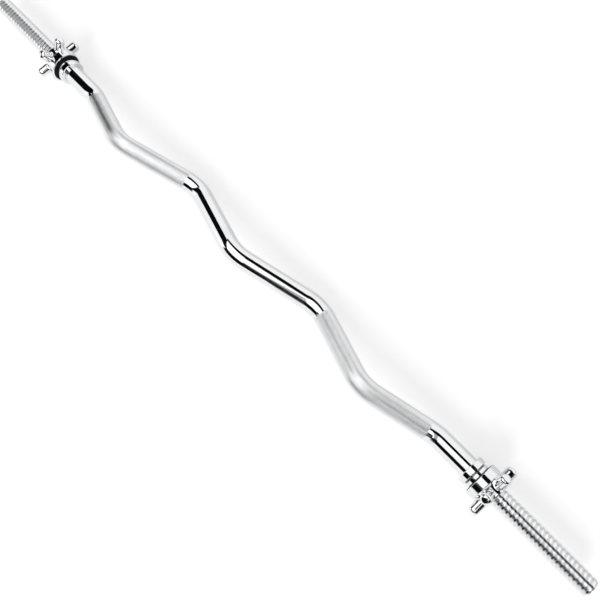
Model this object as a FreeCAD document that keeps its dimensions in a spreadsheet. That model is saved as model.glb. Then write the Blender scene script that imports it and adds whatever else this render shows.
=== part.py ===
import FreeCAD, Part
import math
import os
import Sketcher

# EZ curl bar: a round steel bar bent to a flat W between two straight threaded ends.
# Each end carries a fixed inner collar, held by a grub screw, and a six-armed star collar
# that screws along the thread and presses a rubber ring against the inner collar.
#
# Frame: X runs along the bar's straight ends, Z is up, and the bar lies on the floor
# on the two lowest arms of each star collar. The W leans over towards -Y.

Vector = FreeCAD.Vector
doc = FreeCAD.newDocument("curl_bar")

# Driving dimensions, in millimetres and degrees
SIZES = {
    "total_length": 1200,
    "grip_diameter": 28,
    "sleeve_diameter": 25.4,
    "shoulder_x": 426.5,
    "outer_bend_x": 355.5,
    "outer_peak_x": 250.5,
    "outer_peak_rise": 35,
    "valley_x": 128.5,
    "valley_drop": 17,
    "centre_rise": 29,
    "bend_radius": 55,
    "lean_angle": 50,
    "thread_pitch": 6.35,
    "thread_depth": 1.6,
    "groove_floor_width": 1.4,
    "groove_mouth_width": 3.3,
    "thread_clearance": 0.5,
    "relief_length": 5,
    "relief_extra_depth": 0.2,
    "end_chamfer": 1.5,
    "collar_head_diameter": 38,
    "collar_head_width": 9,
    "collar_groove_diameter": 32,
    "collar_groove_width": 2,
    "collar_neck_diameter": 34,
    "collar_neck_width": 5,
    "collar_edge": 1,
    "slip_clearance": 0.05,
    "screw_diameter": 5,
    "screw_seat_depth": 0.8,
    "screw_below_surface": 0.5,
    "hex_across_flats": 2.5,
    "hex_depth": 2.2,
    "ring_inner_diameter": 30.4,
    "ring_outer_diameter": 43,
    "ring_thickness": 5,
    "ring_edge": 0.6,
    "ring_proud": 0.5,
    "ring_clearance": 0.3,
    "star_length": 30,
    "rim_diameter": 47,
    "rim_length": 12,
    "hub_diameter": 40,
    "rim_edge": 0.8,
    "hub_edge": 3,
    "lead_in": 2,
    "arm_count": 6,
    "arm_x": 21.7,
    "arm_diameter": 14.5,
    "arm_root_radius": 15,
    "arm_reach": 37,
    "arm_tip_round": 4.5,
}

sheet = doc.addObject("Spreadsheet::Sheet", "Sizes")
for row, (alias, number) in enumerate(SIZES.items(), start=1):
    sheet.set("A%d" % row, alias)
    sheet.set("B%d" % row, str(number))
    sheet.setAlias("B%d" % row, alias)
doc.recompute()

# Lengths worked out from the driving dimensions, as expressions on the sheet
HALF_LENGTH = "Sizes.total_length / 2"
GRIP_RADIUS = "Sizes.grip_diameter / 2"
CREST_RADIUS = "Sizes.sleeve_diameter / 2"
ROOT_RADIUS = "(%s - Sizes.thread_depth)" % CREST_RADIUS
RELIEF_RADIUS = "(%s - Sizes.relief_extra_depth)" % ROOT_RADIUS
COLLAR_RADIUS = "Sizes.collar_head_diameter / 2"
COLLAR_END = "(Sizes.collar_head_width / 2 + Sizes.collar_groove_width + Sizes.collar_neck_width)"
COLLAR_X = "(Sizes.shoulder_x - %s)" % COLLAR_END
SCREW_SEAT = "(%s - Sizes.screw_seat_depth)" % GRIP_RADIUS
RING_FACE_X = "(Sizes.shoulder_x + Sizes.ring_clearance)"
STAR_FACE_X = "(%s + Sizes.ring_proud)" % RING_FACE_X
NUT_MINOR_RADIUS = "(%s + Sizes.thread_clearance)" % ROOT_RADIUS
NUT_MAJOR_RADIUS = "(%s + Sizes.thread_clearance)" % CREST_RADIUS
LEAD_RADIUS = "(%s + Sizes.lead_in)" % NUT_MINOR_RADIUS
RECESS_DEPTH = "(Sizes.ring_thickness - Sizes.ring_proud + Sizes.ring_clearance)"
RECESS_RADIUS = "(Sizes.ring_outer_diameter / 2 + Sizes.ring_clearance)"

# The bar lies on two arms of each star collar, half an arm spacing either side of straight down
HALF_ARM_STEP = "(180 / Sizes.arm_count)"
ARM_RADIUS = "Sizes.arm_diameter / 2"
AXIS_HEIGHT = (
    "(Sizes.arm_reach - Sizes.arm_tip_round) * cos(%s) + (%s - Sizes.arm_tip_round) * sin(%s)"
    " + Sizes.arm_tip_round" % (HALF_ARM_STEP, ARM_RADIUS, HALF_ARM_STEP)
)

# The thread groove on the bar starts in the relief, straight up from the axis before the bar leans
GROOVE_START_X = "(Sizes.shoulder_x + Sizes.relief_length / 2)"
OVERCUT = "0.5"


def value(expression):
    """The number that an expression on the sheet gives."""
    return float(sheet.evalExpression(expression))


def plane(body, role):
    return [o for o in body.Origin.OriginFeatures if o.Role == role][0]


def new_body(name):
    body = doc.addObject("PartDesign::Body", name)
    body.Label = name
    return body


def new_sketch(body, name, role, offset_x=None, offset_z=None):
    """A sketch on one of the body's origin planes, moved in its own plane or along its normal."""
    sketch = body.newObject("Sketcher::SketchObject", name)
    sketch.AttachmentSupport = (plane(body, role), [""])
    sketch.MapMode = "FlatFace"
    if offset_x:
        sketch.setExpression("AttachmentOffset.Base.x", offset_x)
    if offset_z:
        sketch.setExpression("AttachmentOffset.Base.z", offset_z)
    return sketch


def bind(sketch, index, name, expression):
    sketch.renameConstraint(index, name)
    sketch.setExpression("Constraints." + name, expression)


def fix_point(sketch, geometry, end, name, at):
    """Hold one end of a sketch element at a place given by two expressions."""
    for axis, expression in zip("XY", at):
        index = sketch.addConstraint(
            Sketcher.Constraint("Distance" + axis, geometry, end, value(expression))
        )
        bind(sketch, index, name + axis, expression)


def closed_outline(sketch, points, rounds=()):
    """A closed outline through points given as expressions.

    rounds maps the number of a side to (radius, centre), and that side is then an arc.
    """
    rounds = dict(rounds)
    places = [Vector(value(x), value(y), 0) for x, y in points]
    ends = []
    for i, start in enumerate(places):
        finish = places[(i + 1) % len(places)]
        if i in rounds:
            radius, centre = rounds[i]
            middle = Vector(value(centre[0]), value(centre[1]), 0)
            circle = Part.Circle(middle, Vector(0, 0, 1), value(radius))
            first, last = circle.parameter(start), circle.parameter(finish)
            forward = (last - first) % (2 * math.pi) < math.pi
            span = (first, last) if forward else (last, first)
            side = sketch.addGeometry(Part.ArcOfCircle(circle, *span))
            ends.append((1, 2) if forward else (2, 1))
            index = sketch.addConstraint(Sketcher.Constraint("Radius", side, value(radius)))
            bind(sketch, index, "round%d" % i, radius)
        else:
            sketch.addGeometry(Part.LineSegment(start, finish))
            ends.append((1, 2))
    for i, at in enumerate(points):
        before = i - 1 if i else len(points) - 1
        sketch.addConstraint(
            Sketcher.Constraint("Coincident", before, ends[before][1], i, ends[i][0])
        )
        fix_point(sketch, i, ends[i][0], "point%d" % i, at)


def circle_sketch(sketch, centres, radius):
    """Circles of one radius with their centres at places given as expressions."""
    for i, at in enumerate(centres):
        middle = Vector(value(at[0]), value(at[1]), 0)
        ring = sketch.addGeometry(Part.Circle(middle, Vector(0, 0, 1), value(radius)))
        index = sketch.addConstraint(Sketcher.Constraint("Radius", ring, value(radius)))
        bind(sketch, index, "radius%d" % i, radius)
        fix_point(sketch, ring, 3, "centre%d" % i, at)


def revolve(body, name, sketch, axis_role="X_Axis"):
    feature = body.newObject("PartDesign::Revolution", name)
    feature.Profile = sketch
    feature.ReferenceAxis = (plane(body, axis_role), [""])
    feature.Angle = 360
    return feature


def cut_thread(body, name, start_x, length, floor, mouth):
    """A right-hand helical groove about X.

    floor and mouth are its (radius, width) at the two ends of its flanks, and the mouth
    is carried past the surface by the overcut so that the groove breaks through it.
    """
    floor_radius, floor_width = floor
    mouth_radius, mouth_width = mouth
    slope = "((%s - %s) / (%s - %s))" % (mouth_width, floor_width, mouth_radius, floor_radius)
    outwards = "+" if value(mouth_radius) > value(floor_radius) else "-"
    far_radius = "(%s %s %s)" % (mouth_radius, outwards, OVERCUT)
    far_width = "(%s + %s * (%s - %s))" % (mouth_width, slope, far_radius, mouth_radius)
    sketch = new_sketch(body, name + "_profile", "XZ_Plane")
    corners = [
        ("%s - %s / 2" % (start_x, floor_width), floor_radius),
        ("%s + %s / 2" % (start_x, floor_width), floor_radius),
        ("%s + %s / 2" % (start_x, far_width), far_radius),
        ("%s - %s / 2" % (start_x, far_width), far_radius),
    ]
    closed_outline(sketch, corners)
    helix = body.newObject("PartDesign::SubtractiveHelix", name)
    helix.Profile = sketch
    helix.ReferenceAxis = (plane(body, "X_Axis"), [""])
    helix.Mode = "pitch-height-angle"
    helix.setExpression("Pitch", "Sizes.thread_pitch")
    helix.setExpression("Height", length)
    helix.LeftHanded = False
    helix.Reversed = False
    return helix


def bent_centreline(body):
    """The bar's centreline between the shoulders: straight runs joined by tangent arcs of one radius."""
    corners = [
        ("-Sizes.outer_bend_x", "0"),
        ("-Sizes.outer_peak_x", "Sizes.outer_peak_rise"),
        ("-Sizes.valley_x", "-Sizes.valley_drop"),
        ("0", "Sizes.centre_rise"),
        ("Sizes.valley_x", "-Sizes.valley_drop"),
        ("Sizes.outer_peak_x", "Sizes.outer_peak_rise"),
        ("Sizes.outer_bend_x", "0"),
    ]
    first = ("-Sizes.shoulder_x", "0")
    last = ("Sizes.shoulder_x", "0")
    sketch = new_sketch(body, "centreline", "XZ_Plane")
    places = [Vector(value(x), value(y), 0) for x, y in [first] + corners + [last]]
    radius = value("Sizes.bend_radius")
    headings = [(b - a).normalize() for a, b in zip(places, places[1:])]
    starts, finishes, arcs = [places[0]], [], []
    for corner, before, after in zip(places[1:-1], headings, headings[1:]):
        turn = before.getAngle(after)
        reach = radius * math.tan(turn / 2)
        inwards = (after - before).normalize()
        arcs.append(corner + inwards * (radius / math.cos(turn / 2)))
        finishes.append(corner - before * reach)
        starts.append(corner + after * reach)
    finishes.append(places[-1])
    runs = [
        sketch.addGeometry(Part.LineSegment(a, b)) for a, b in zip(starts, finishes)
    ]
    fix_point(sketch, runs[0], 1, "first", first)
    fix_point(sketch, runs[-1], 2, "last", last)
    for i, (corner, centre) in enumerate(zip(corners, arcs)):
        circle = Part.Circle(centre, Vector(0, 0, 1), radius)
        enter, leave = circle.parameter(finishes[i]), circle.parameter(starts[i + 1])
        leftwards = (leave - enter) % (2 * math.pi) < math.pi
        span = (enter, leave) if leftwards else (leave, enter)
        ends = (1, 2) if leftwards else (2, 1)
        bend = sketch.addGeometry(Part.ArcOfCircle(circle, *span))
        vertex = sketch.addGeometry(Part.Point(places[i + 1]), True)
        fix_point(sketch, vertex, 1, "corner%d" % i, corner)
        for run in runs[i : i + 2]:
            sketch.addConstraint(Sketcher.Constraint("PointOnObject", vertex, 1, run))
        sketch.addConstraint(Sketcher.Constraint("Tangent", runs[i], 2, bend, ends[0]))
        sketch.addConstraint(Sketcher.Constraint("Tangent", bend, ends[1], runs[i + 1], 1))
        index = sketch.addConstraint(Sketcher.Constraint("Radius", bend, radius))
        bind(sketch, index, "bend%d" % i, "Sizes.bend_radius")
    return sketch


def make_bar():
    """The bent bar, with a threaded sleeve turned down from it at each end."""
    body = new_body("bar")
    path = bent_centreline(body)
    section = new_sketch(body, "grip_section", "YZ_Plane", offset_z="-Sizes.shoulder_x")
    circle_sketch(section, [("0", "0")], GRIP_RADIUS)
    doc.recompute()
    grip = body.newObject("PartDesign::AdditivePipe", "grip")
    grip.Profile = section
    grip.Spine = (path, ["Edge%d" % (i + 1) for i in range(len(path.Shape.Edges))])

    sleeve_sketch = new_sketch(body, "sleeve_profile", "XZ_Plane")
    relief_end = "Sizes.shoulder_x + Sizes.relief_length"
    sleeve_points = [
        ("Sizes.shoulder_x", "0"),
        ("Sizes.shoulder_x", RELIEF_RADIUS),
        (relief_end, RELIEF_RADIUS),
        (relief_end, CREST_RADIUS),
        (HALF_LENGTH + " - Sizes.end_chamfer", CREST_RADIUS),
        (HALF_LENGTH, CREST_RADIUS + " - Sizes.end_chamfer"),
        (HALF_LENGTH, "0"),
    ]
    closed_outline(sleeve_sketch, sleeve_points)
    sleeve = revolve(body, "sleeve", sleeve_sketch)
    thread_length = "%s - %s + 2 * Sizes.thread_pitch" % (HALF_LENGTH, GROOVE_START_X)
    floor = (ROOT_RADIUS, "Sizes.groove_floor_width")
    mouth = (CREST_RADIUS, "Sizes.groove_mouth_width")
    thread = cut_thread(body, "thread", GROOVE_START_X, thread_length, floor, mouth)
    doc.recompute()
    both_ends = body.newObject("PartDesign::PolarPattern", "both_ends")
    both_ends.Originals = [sleeve, thread]
    both_ends.Axis = (plane(body, "Z_Axis"), [""])
    both_ends.Angle = 360
    both_ends.Occurrences = 2
    body.Tip = both_ends
    doc.recompute()

    seats = new_sketch(body, "screw_seats", "XY_Plane", offset_z="-" + SCREW_SEAT)
    seat_centres = [("-" + COLLAR_X, "0"), (COLLAR_X, "0")]
    circle_sketch(seats, seat_centres, "Sizes.screw_diameter / 2 + 4 * Sizes.slip_clearance")
    spot = body.newObject("PartDesign::Pocket", "screw_spots")
    spot.Profile = seats
    spot.setExpression("Length", "Sizes.grip_diameter")
    place(body, "0", leans=True)
    return body


def make_inner_collar(name, sign):
    """A stop ring that slips over the bar: a head, a groove and a neck that faces the end of the bar.

    Its own x is measured from the middle of the head, where a screw hole enters on the valley
    side of the W. sign is a minus for the collar of the left end.
    """
    body = new_body(name)
    half = "Sizes.collar_head_width / 2"
    groove_end = "(%s + Sizes.collar_groove_width)" % half
    bore = "(%s + Sizes.slip_clearance)" % GRIP_RADIUS
    groove = "Sizes.collar_groove_diameter / 2"
    neck = "Sizes.collar_neck_diameter / 2"
    edge = "Sizes.collar_edge"
    outline = [
        ("-" + half, bore),
        ("-" + half, "%s - %s" % (COLLAR_RADIUS, edge)),
        ("-%s + %s" % (half, edge), COLLAR_RADIUS),
        ("%s - %s" % (half, edge), COLLAR_RADIUS),
        (half, "%s - %s" % (COLLAR_RADIUS, edge)),
        (half, groove),
        (groove_end, groove),
        (groove_end, neck),
        ("%s - %s" % (COLLAR_END, edge), neck),
        (COLLAR_END, "%s - %s" % (neck, edge)),
        (COLLAR_END, bore),
    ]
    sketch = new_sketch(body, name + "_profile", "XZ_Plane")
    closed_outline(sketch, [("%s(%s)" % (sign, along), radius) for along, radius in outline])
    revolve(body, name + "_ring", sketch)
    doc.recompute()
    hole_sketch = new_sketch(body, name + "_hole_circle", "XY_Plane")
    circle_sketch(hole_sketch, [("0", "0")], "Sizes.screw_diameter / 2 + Sizes.slip_clearance")
    hole = body.newObject("PartDesign::Pocket", name + "_hole")
    hole.Profile = hole_sketch
    hole.setExpression("Length", "Sizes.collar_head_diameter")
    place(body, sign + COLLAR_X, leans=True)
    return body


def make_collar_screw(name, sign):
    """A grub screw through the collar, seated in its spot on the bar, with a hexagon socket."""
    body = new_body(name)
    outer_end = "(%s - Sizes.screw_below_surface)" % COLLAR_RADIUS
    shank_sketch = new_sketch(body, name + "_circle", "XY_Plane", offset_z="-" + outer_end)
    circle_sketch(shank_sketch, [("0", "0")], "Sizes.screw_diameter / 2")
    shank = body.newObject("PartDesign::Pad", name + "_shank")
    shank.Profile = shank_sketch
    shank.setExpression("Length", "%s - %s" % (outer_end, SCREW_SEAT))
    doc.recompute()
    hexagon = new_sketch(body, name + "_hexagon", "XY_Plane", offset_z="-" + outer_end)
    corner = "(Sizes.hex_across_flats / 2 / cos(30))"
    points = [
        ("%s * cos(%d)" % (corner, angle), "%s * sin(%d)" % (corner, angle))
        for angle in range(0, 360, 60)
    ]
    closed_outline(hexagon, points)
    socket = body.newObject("PartDesign::Pocket", name + "_socket")
    socket.Profile = hexagon
    socket.Reversed = True
    socket.setExpression("Length", "Sizes.hex_depth")
    place(body, sign + COLLAR_X, leans=True)
    return body


def make_rubber_ring(name, sign):
    """The friction ring: a flat ring with eased edges, its free face at x = 0."""
    body = new_body(name)
    inner = "Sizes.ring_inner_diameter / 2"
    outer = "Sizes.ring_outer_diameter / 2"
    edge = "Sizes.ring_edge"
    thick = "Sizes.ring_thickness"
    outline = [
        ("0", "%s + %s" % (inner, edge)),
        ("0", "%s - %s" % (outer, edge)),
        (edge, outer),
        ("%s - %s" % (thick, edge), outer),
        (thick, "%s - %s" % (outer, edge)),
        (thick, "%s + %s" % (inner, edge)),
        ("%s - %s" % (thick, edge), inner),
        (edge, inner),
    ]
    sketch = new_sketch(body, name + "_profile", "XZ_Plane")
    closed_outline(sketch, outline)
    revolve(body, name + "_ring", sketch)
    place(body, sign + RING_FACE_X, turned=sign == "-")
    return body


def make_star_collar(name, sign):
    """The screw collar: a hub with a recess for the rubber ring, six round arms and an inner thread."""
    body = new_body(name)
    rim = "Sizes.rim_diameter / 2"
    hub = "Sizes.hub_diameter / 2"
    length = "Sizes.star_length"
    outline = [
        ("0", RECESS_RADIUS),
        ("0", "%s - Sizes.rim_edge" % rim),
        ("Sizes.rim_edge", rim),
        ("Sizes.rim_length", rim),
        ("Sizes.rim_length + %s - %s" % (rim, hub), hub),
        ("%s - Sizes.hub_edge" % length, hub),
        (length, "%s - Sizes.hub_edge" % hub),
        (length, LEAD_RADIUS),
        ("%s - Sizes.lead_in" % length, NUT_MINOR_RADIUS),
        ("%s + Sizes.lead_in" % RECESS_DEPTH, NUT_MINOR_RADIUS),
        (RECESS_DEPTH, LEAD_RADIUS),
        (RECESS_DEPTH, RECESS_RADIUS),
    ]
    sketch = new_sketch(body, name + "_profile", "XZ_Plane")
    closed_outline(sketch, outline)
    revolve(body, name + "_hub", sketch)

    arm_sketch = new_sketch(body, name + "_arm_profile", "XY_Plane", offset_x="Sizes.arm_x")
    tip_flat = "(%s - Sizes.arm_tip_round)" % ARM_RADIUS
    tip_start = "(Sizes.arm_reach - Sizes.arm_tip_round)"
    arm_points = [
        ("0", "Sizes.arm_root_radius"),
        (ARM_RADIUS, "Sizes.arm_root_radius"),
        (ARM_RADIUS, tip_start),
        (tip_flat, "Sizes.arm_reach"),
        ("0", "Sizes.arm_reach"),
    ]
    closed_outline(arm_sketch, arm_points, {2: ("Sizes.arm_tip_round", (tip_flat, tip_start))})
    arm = body.newObject("PartDesign::Revolution", name + "_arm")
    arm.Profile = arm_sketch
    arm.ReferenceAxis = (arm_sketch, ["V_Axis"])
    arm.Angle = 360
    doc.recompute()
    arms = body.newObject("PartDesign::PolarPattern", name + "_arms")
    arms.Originals = [arm]
    arms.Axis = (plane(body, "X_Axis"), [""])
    arms.Angle = 360
    arms.setExpression("Occurrences", "Sizes.arm_count")
    body.Tip = arms
    doc.recompute()

    # the inner ridge runs in the middle of the bar's groove, so the groove cut here follows the bar's
    # crest: half a pitch on, and turned back by the lean that the bar has and the star collar doesn't
    lean_share = "%s Sizes.thread_pitch * Sizes.lean_angle / 360" % ("+" if sign else "-")
    crest_x = "(%s %s + Sizes.thread_pitch / 2 - %s)" % (GROOVE_START_X, lean_share, STAR_FACE_X)
    start_x = "(mod(%s; Sizes.thread_pitch) - Sizes.thread_pitch)" % crest_x
    flank = "((Sizes.groove_mouth_width - Sizes.groove_floor_width) / 2 / Sizes.thread_depth)"
    side_room = "(2 * Sizes.thread_clearance * (sqrt(1 + %s ^ 2) - %s))" % (flank, flank)
    floor_width = "(Sizes.thread_pitch - Sizes.groove_mouth_width + %s)" % side_room
    mouth_width = "(Sizes.thread_pitch - Sizes.groove_floor_width + %s)" % side_room
    cut_thread(
        body,
        name + "_thread",
        start_x,
        "%s - %s + Sizes.thread_pitch" % (length, start_x),
        (NUT_MAJOR_RADIUS, floor_width),
        (NUT_MINOR_RADIUS, mouth_width),
    )
    place(body, sign + STAR_FACE_X, turned=sign == "-")
    return body


def place(body, along, leans=False, turned=False):
    """Put a body on the bar's axis: leaning with the W, or turned to face the left end."""
    body.setExpression("Placement.Base.x", along)
    body.setExpression("Placement.Base.z", AXIS_HEIGHT)
    if leans:
        body.Placement.Rotation.Axis = Vector(1, 0, 0)
        body.setExpression("Placement.Rotation.Angle", "Sizes.lean_angle * 1 deg")
    if turned:
        body.Placement = FreeCAD.Placement(body.Placement.Base, FreeCAD.Rotation(Vector(0, 0, 1), 180))


bodies = [make_bar()]
for side, sign in (("left", "-"), ("right", "")):
    bodies.append(make_inner_collar(side + "_inner_collar", sign))
    bodies.append(make_collar_screw(side + "_collar_screw", sign))
    bodies.append(make_rubber_ring(side + "_rubber_ring", sign))
    bodies.append(make_star_collar(side + "_star_collar", sign))
doc.recompute()

for item in doc.Objects:
    if "Invalid" in item.State or "Error" in item.State:
        raise RuntimeError("%s failed: %s" % (item.Name, item.State))

os.makedirs("parts", exist_ok=True)
for body in bodies:
    shape = body.Shape
    if shape.isNull() or not shape.isValid() or len(shape.Solids) != 1:
        raise RuntimeError("%s is not one valid solid" % body.Label)
    box = shape.optimalBoundingBox()
    print(
        "%-20s volume %9.0f mm3  x %.1f to %.1f  y %.1f to %.1f  z %.1f to %.1f"
        % (body.Label, shape.Volume, box.XMin, box.XMax, box.YMin, box.YMax, box.ZMin, box.ZMax)
    )
    shape.exportStep("parts/%s.step" % body.Label)
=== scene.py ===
import math

import bmesh
import bpy
import numpy as np
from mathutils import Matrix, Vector


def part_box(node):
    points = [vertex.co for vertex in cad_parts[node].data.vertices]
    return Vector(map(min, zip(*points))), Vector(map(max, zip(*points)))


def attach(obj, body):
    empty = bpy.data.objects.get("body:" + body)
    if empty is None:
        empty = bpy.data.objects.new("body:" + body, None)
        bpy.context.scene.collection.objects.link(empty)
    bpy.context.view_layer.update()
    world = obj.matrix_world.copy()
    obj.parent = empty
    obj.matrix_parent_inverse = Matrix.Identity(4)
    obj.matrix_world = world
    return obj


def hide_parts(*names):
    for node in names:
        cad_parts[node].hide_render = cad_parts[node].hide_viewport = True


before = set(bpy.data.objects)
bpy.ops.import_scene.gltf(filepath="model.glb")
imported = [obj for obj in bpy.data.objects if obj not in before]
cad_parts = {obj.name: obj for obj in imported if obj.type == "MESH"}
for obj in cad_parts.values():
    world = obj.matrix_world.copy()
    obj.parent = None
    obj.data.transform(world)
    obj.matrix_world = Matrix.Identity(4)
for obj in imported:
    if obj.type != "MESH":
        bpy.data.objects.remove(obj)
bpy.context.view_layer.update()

# EZ curl bar as it looks: a chromed bar bent to a flat W with two knurled hand zones, threaded
# ends, fixed inner collars held by grub screws, rubber friction rings and six-armed star collars.
#
# Shapes are worked out in millimetres and put into the meshes in metres. The bar's own frame has
# x along the straight ends, z in the plane of the W and y across it, and leans over about x.
# An end frame has x outwards along the axis. Both are turned half round about z for the left end.
# Outlines are corners of (x, radius, rounding of the corner). Names that end in RING and ROWS
# count the points round and along a surface.

MM = 0.001
SIDES = (("left", -1), ("right", 1))
AXIS_HEIGHT = sum(corner.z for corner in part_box("right_rubber_ring")) / 2 / MM
LEAN = math.radians(50)
MERGE_DISTANCE = 1e-7

# The bar: the W's centreline as corners (x, rise), from its middle to the right shoulder, and whole
SHOULDER_X = 426.5
HALF_W = ((0, 29), (128.5, -17), (250.5, 35), (355.5, 0), (SHOULDER_X, 0))
W_CORNERS = [(-x, rise) for x, rise in HALF_W[:0:-1]] + list(HALF_W)
BEND_RADIUS = 55
GRIP_RADIUS = 13.95
GRIP_STEP = 1.5
GRIP_RING = 96
SHOULDER_EDGE = 0.5
SHOULDER_ROWS = 56
SHOULDER_OVERLAP = 1

# The knurled zones, from and to along the centreline, measured from its middle. The groove's half
# width is a share of a diamond.
KNURL_START = 149.5
KNURL_END = 363
KNURL_DIAMONDS = 56
KNURL_ANGLE = math.radians(30)
KNURL_DEPTH = 0.14
KNURL_GROOVE = 0.26

# The screw thread of the bar's ends and of the star collars. The rows of one turn lie at these
# distances from the middle of its groove, over the crest, the flanks and the root.
PITCH = 6.35
CREST_RADIUS = 12.7
ROOT_RADIUS = 11.1
ROOT_HALF_WIDTH = 0.7
GROOVE_HALF_WIDTH = 1.65
THREAD_SOFTNESS = 0.1
THREAD_START_X = 429
THREAD_RING = 64
THREAD_PLACES = (-3.0, -2.3, -1.75, -1.55, -1.2, -0.8, -0.6, 0, 0.6, 0.8, 1.2, 1.55, 1.75, 2.3)
SPARE_TURNS = 2
RELIEF_RADIUS = 10.9
RELIEF_END_X = 431.5
BAR_END_X = 600
END_CHAMFER = 1.5
NUT_MINOR_RADIUS = 11.6
NUT_MAJOR_RADIUS = 13.2
NUT_FLOOR_HALF_WIDTH = 1.81
NUT_MOUTH_HALF_WIDTH = 2.76

# The fixed inner collar, its x measured from the middle of its head
COLLAR_X = 415
COLLAR_BORE = 14.05
HEAD_HALF = 4.5
HEAD_RADIUS = 19
GROOVE_FLOOR = 16
GROOVE_MARGIN = 0.1
NECK_START = 6.5
NECK_END = 11.5
NECK_RADIUS = 17
COLLAR_OUTLINE = (
    (-HEAD_HALF, COLLAR_BORE, 0.3), (-HEAD_HALF, HEAD_RADIUS, 1),
    (HEAD_HALF, HEAD_RADIUS, 1), (HEAD_HALF, GROOVE_FLOOR, 0.4),
    (NECK_START, GROOVE_FLOOR, 0.4), (NECK_START, NECK_RADIUS, 0.4),
    (NECK_END, NECK_RADIUS, 0.8), (NECK_END, COLLAR_BORE, 0.3),
)

# The grub screw under the collar, its heights measured down from the axis along the bar's own z.
# The mouth and the point of its socket are shares of the socket's width.
SCREW_RING = 48
SCREW_RADIUS = 2.5
SCREW_TIP = 13.2
SCREW_TIP_RADIUS = 1.7
SCREW_TIP_CHAMFER = 0.7
SCREW_HEAD = 18.5
SCREW_HEAD_CHAMFER = 0.25
SOCKET_HALF_FLATS = 1.25
SOCKET_MOUTH = 1.12
SOCKET_MOUTH_DEPTH = 0.15
SOCKET_FLOOR = 16.3
SOCKET_POINT = 0.3
SOCKET_POINT_DEPTH = 0.4
SCREW_HOLE_RADIUS = 2.55
SCREW_HOLE_FOOT = 26
SCREW_HOLE_TOP = 10

# The rubber ring and the star collar, their x measured outwards from the ring's and the star's face
TURNED_RING = 128
RING_FACE_X = 426.8
RING_OUTLINE = ((0, 15.2, 0.9), (0, 21.5, 0.9), (5, 21.5, 0.9), (5, 15.2, 0.9))
STAR_FACE_X = 427.3
STAR_LENGTH = 30
RECESS_FLOOR = 4.8
RECESS_RADIUS = 21.8
LEAD_IN = 2
BORE_MOUTH = NUT_MINOR_RADIUS + LEAD_IN
BORE_INSET = 0.4
BORE_ROWS = 84
RIM_RADIUS = 23.5
RIM_END = 12
HUB_RADIUS = 20
HUB_EDGE = 3
STAR_OUTLINE = (
    (RECESS_FLOOR, BORE_MOUTH, 0.2), (RECESS_FLOOR, RECESS_RADIUS, 0.4), (0, RECESS_RADIUS, 0.3),
    (0, RIM_RADIUS, 0.7), (RIM_END, RIM_RADIUS, 1.2),
    (RIM_END + RIM_RADIUS - HUB_RADIUS, HUB_RADIUS, 2),
    (STAR_LENGTH, HUB_RADIUS, HUB_EDGE), (STAR_LENGTH, BORE_MOUTH, 0.3),
)
BORE_CORNERS = (
    (STAR_LENGTH - LEAD_IN, NUT_MINOR_RADIUS, 0.1), (RECESS_FLOOR + LEAD_IN, NUT_MINOR_RADIUS, 0.1),
)

# The star's arms. The fillet at an arm's root fades out over a span of the cosine of the angle
# round the arm, and the rings of the tip's flat face are shares of its radius.
ARM_COUNT = 6
ARM_RING = 48
ARM_X = 21.7
ARM_RADIUS = 7.25
ARM_REACH = 37
ARM_FILLET = 2.2
FILLET_ROWS = 8
FILLET_SINK = 0.08
FILLET_FADE_START = 0.1
FILLET_FADE_SPAN = 0.8
ARM_ROOT_SPREAD = 0.3
ARM_ROOT_DEPTH = 1.2
SHANK_ROWS = 5
ARM_TIP_ROUND = 4.5
TIP_ROWS = 8
TIP_FACE_RINGS = (0.6, 0.15)


# Shapes

def on_bar(shell, side=1, start=0):
    """A shell of the bar's own frame, moved out by start, leaned over and lifted to the axis."""
    points, faces = shell
    x, y, z = side * (start + points[..., 0]), side * points[..., 1], points[..., 2]
    level = y * math.cos(LEAN) - z * math.sin(LEAN)
    height = y * math.sin(LEAN) + z * math.cos(LEAN) + AXIS_HEIGHT
    return np.stack([x, level, height], -1), faces


def on_end(shell, side, start):
    """A shell of an end frame, moved out by start and lifted to the axis."""
    points, faces = shell
    x, y, z = side * (start + points[..., 0]), side * points[..., 1], points[..., 2]
    return np.stack([x, y, z + AXIS_HEIGHT], -1), faces


def ring_angles(count):
    """Angles evenly round a full turn."""
    return np.arange(count) * 2 * np.pi / count


def grid_faces(rows, columns, closed_rows=False):
    """Quads between the points of a grid whose columns close into a ring, and its rows if asked."""
    row = np.arange(rows if closed_rows else rows - 1)[:, None]
    column = np.arange(columns)[None, :]
    next_row, next_column = (row + 1) % rows, (column + 1) % columns
    corners = np.broadcast_arrays(
        row * columns + column, next_row * columns + column,
        next_row * columns + next_column, row * columns + next_column,
    )
    return np.stack(corners, -1).reshape(-1, 4)


def closed_tube(points, faces=None):
    """A shell from a grid of rings: its sides, and a fan from the middle of each end ring."""
    rows, columns = points.shape[:2]
    count = rows * columns
    vertices = np.concatenate([points.reshape(-1, 3), points[[0, -1]].mean(1)])
    ring = np.arange(columns)
    after = (ring + 1) % columns
    last = count - columns
    first_fan = np.stack([np.full(columns, count), ring, after], -1)
    last_fan = np.stack([np.full(columns, count + 1), last + after, last + ring], -1)
    sides = grid_faces(rows, columns) if faces is None else faces
    return vertices, [sides, first_fan, last_fan]


def turned(x, radius, columns):
    """Points at x and at radius from the axis, turned about x from straight up, a row for each x.

    The angle a grows as a right-hand screw does: y = -radius * sin a and z = radius * cos a.
    """
    angle = ring_angles(columns)
    places = np.broadcast_arrays(x, -radius * np.sin(angle), radius * np.cos(angle))
    return np.stack(places, -1)


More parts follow.
